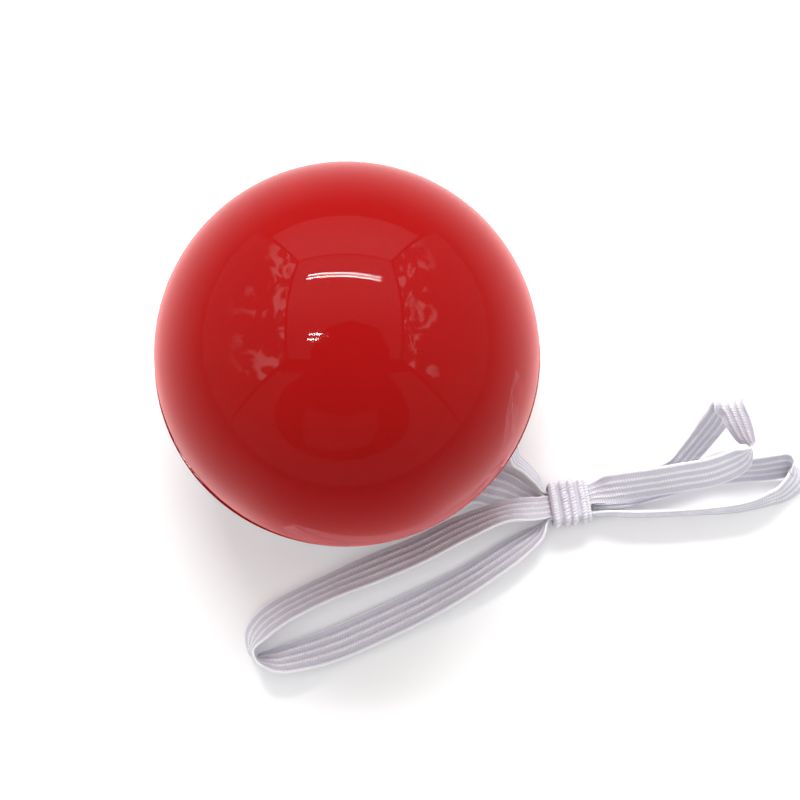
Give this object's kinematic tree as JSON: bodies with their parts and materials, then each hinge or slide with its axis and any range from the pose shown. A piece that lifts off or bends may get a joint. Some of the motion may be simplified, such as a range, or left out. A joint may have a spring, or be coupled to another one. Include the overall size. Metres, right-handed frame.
{
  "type": "clown nose",
  "caption": "Glossy red hollow ball nose in moulded halves, open at the back, on a flat white elastic strap folded into loops and held by a wound band.",
  "frame": {"origin": "centre of the rear opening, in the plane of its rim, which the nose rests on", "axes": "+Z out of the front of the nose, +X towards the side that the folded strap lies on, +Y across it"},
  "size_m": [0.0867, 0.0651, 0.0442],
  "materials": {
    "red_plastic": "smooth hard glossy red plastic with a fine seam and light moulding marks",
    "white_elastic": "matt white braided elastic with five raised cords and soft lilac-grey channels"
  },
  "bodies": {
    "root": {"front_shell": "red_plastic", "rear_shell": "red_plastic", "elastic_strap": "white_elastic", "strap_wrap": "white_elastic", "strap_end_knot_right": "white_elastic", "strap_end_knot_left": "white_elastic"}
  },
  "joints": []
}
